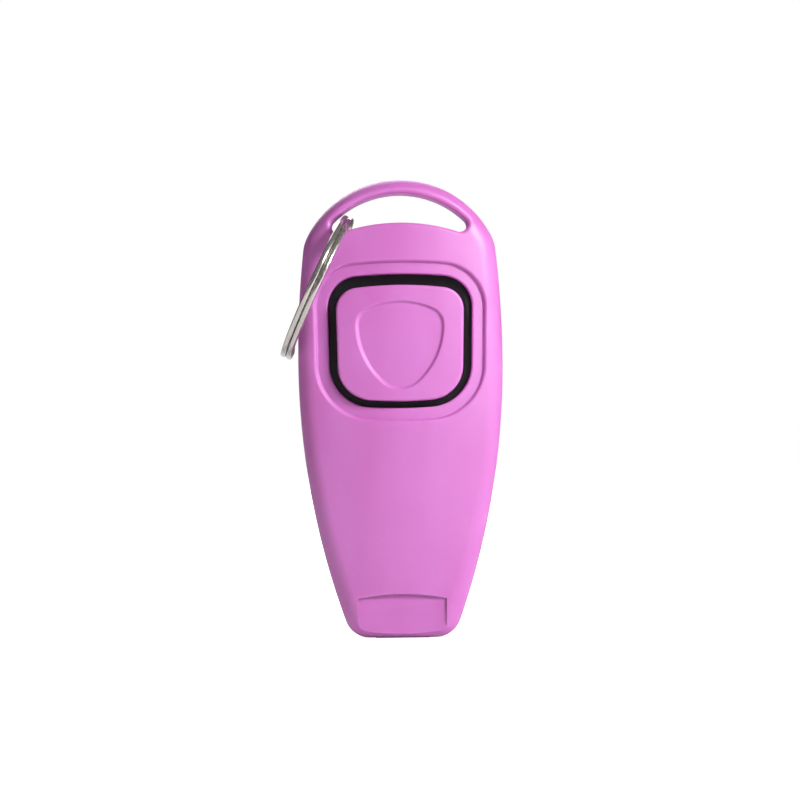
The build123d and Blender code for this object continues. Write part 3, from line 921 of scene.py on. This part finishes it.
@dataclass
class Studio:
    """The pale floor, the even surroundings, the softboxes and the camera."""

    floor_radius: float = 1.1
    floor_gap: float = 0.02 * MM
    floor_rings: int = 40
    floor_spokes: int = 96
    rim_start: float = 0.88
    rim_drop: float = 0.12
    floor_glow: float = 0.97
    dim: float = 0.08
    bright: float = 0.22
    bright_side: Vector = field(default_factory=lambda: Vector((0.72, -0.30, 0.62)).normalized())
    dim_until: float = -0.5
    bright_from: float = 0.9
    stand_off: float = 0.380
    sensor: float = 36.0
    lens: float = 104.1
    nearest: float = 0.01
    tilt: float = 0.6
    centre: Vector = field(default_factory=lambda: Vector((-0.00013, 0.0015, -0.0312)))
    pieces: list[Object] = field(default_factory=list)

    def softboxes(self) -> list[Softbox]:
        """Lists the studio's lights."""
        return [
            Softbox(Lamp.KEY, Vector((0.38, -0.36, 0.24)), 0.14, 4.0),
            Softbox(Lamp.SIDE, Vector((0.46, -0.02, 0.02)), 0.30, 0.3),
            Softbox(Lamp.FILL, Vector((-0.42, -0.30, -0.02)), 0.50, 0.30, (1.0, 0.55, 0.70)),
            Softbox(Lamp.BACK, Vector((-0.10, 0.60, 0.35)), 0.45, 3.0),
        ]

    def floor(self) -> Object:
        """Lays a large round floor whose rim rolls down out of sight."""
        level = cad_box[0].z - self.floor_gap
        rings, spokes = self.floor_rings, self.floor_spokes
        points = [Vector((0.0, 0.0, level))]
        for i in range(1, rings + 1):
            share = i / rings
            drop = self.rim_drop * (max(share - self.rim_start, 0.0) / (1 - self.rim_start)) ** 2
            radius = self.floor_radius * share
            for j in range(spokes):
                angle = 2 * math.pi * j / spokes
                points.append(Vector((radius * math.cos(angle), radius * math.sin(angle), level - drop)))
        faces: list[tuple[int, ...]] = [(0, 1 + j, 1 + (j + 1) % spokes) for j in range(spokes)]
        for i in range(rings - 1):
            a, b = 1 + i * spokes, 1 + (i + 1) * spokes
            faces += [(a + j, b + j, b + (j + 1) % spokes, a + (j + 1) % spokes) for j in range(spokes)]
        floor = mesh_piece("studio_floor", points, faces)
        return floor

    def paint_floor(self, floor: Object) -> None:
        """Gives the floor a white card surface that stays pale wherever it is seen from.

        Args:
            floor: The floor's object.
        """
        card = bpy.data.materials.new("studio_card")
        card.use_nodes = True
        bench = Bench(card.node_tree)
        mottle = bench.fade(bench.noise(part_place(bench), 300.0, 3.0), 0.2, 0.8)
        tone = bench.blend(mottle, Tone.CARD.value, Tone.CARD_LIGHT.value)
        matt = bench.put("ShaderNodeBsdfDiffuse", {"Color": tone})
        seen = bench.put("ShaderNodeLightPath").outputs["Is Camera Ray"]
        strength = bench.calc("MULTIPLY", seen, self.floor_glow)
        glow = bench.put("ShaderNodeEmission", {"Color": TUBE_WHITE, "Strength": strength})
        both = bench.put("ShaderNodeAddShader", {0: matt.outputs[0], 1: glow.outputs[0]})
        bench.put("ShaderNodeOutputMaterial", {"Surface": both.outputs[0]})
        floor.data.materials.append(card)

    def surround(self) -> None:
        """Puts a pale light round everything, brighter on one side.

        What the camera itself sees past the floor is plain white.
        """
        world = bpy.data.worlds.new("pale_surroundings")
        world.use_nodes = True
        bpy.context.scene.world = world
        bench = Bench(world.node_tree)
        seen = bench.put("ShaderNodeLightPath").outputs["Is Camera Ray"]
        outward = bench.put("ShaderNodeTexCoord").outputs["Generated"]
        given = {0: outward, 1: self.bright_side}
        side = bench.put("ShaderNodeVectorMath", given, operation="DOT_PRODUCT").outputs["Value"]
        share = bench.fade(side, self.dim_until, self.bright_from)
        strength = bench.calc("MULTIPLY_ADD", share, self.bright - self.dim, self.dim)
        even = bench.put("ShaderNodeBackground", {"Color": TUBE_WHITE, "Strength": strength})
        white = bench.put("ShaderNodeBackground", {"Color": TUBE_WHITE, "Strength": 1.0})
        mixed = bench.put("ShaderNodeMixShader", {0: seen, 1: even.outputs[0], 2: white.outputs[0]})
        bench.put("ShaderNodeOutputWorld", {"Surface": mixed.outputs[0]})

    def camera(self) -> Object:
        """Sets the camera up level with the clicker and square to its front.

        It is turned a touch about its line of sight.
        """
        data = bpy.data.cameras.new("portrait_camera")
        data.sensor_width = self.sensor
        data.lens = self.lens
        data.clip_start = self.nearest
        eye = bpy.data.objects.new("portrait_camera", data)
        turn = Matrix.Rotation(math.radians(self.tilt), 4, "Y") @ Matrix.Rotation(math.radians(90), 4, "X")
        eye.matrix_world = Matrix.Translation(self.centre - Vector((0, self.stand_off, 0))) @ turn
        bpy.context.scene.collection.objects.link(eye)
        bpy.context.scene.camera = eye
        return eye

    def build(self) -> None:
        """Sets up the floor, the lights and the camera, and keeps the colours as they are mixed."""
        self.pieces = [self.floor(), self.camera()]
        self.pieces += [box.build(self.centre) for box in self.softboxes()]
        bpy.context.scene.view_settings.view_transform = "Standard"

    def dress(self) -> None:
        """Paints the floor and the surroundings."""
        self.paint_floor(self.pieces[0])
        self.surround()


def main() -> None:
    """Builds and dresses every sub-assembly in order, and reports each piece."""
    logging.basicConfig(level=logging.INFO, format="%(message)s")
    for assembly in (Casing(), ClickButton(), ClickMechanism(), CaseScrews(), SplitRing(), Studio()):
        assembly.build()
        assembly.dress()
        for piece in assembly.pieces:
            log.info("%s: %s", type(assembly).__name__, piece.name)


if __name__ == "__main__":
    main()
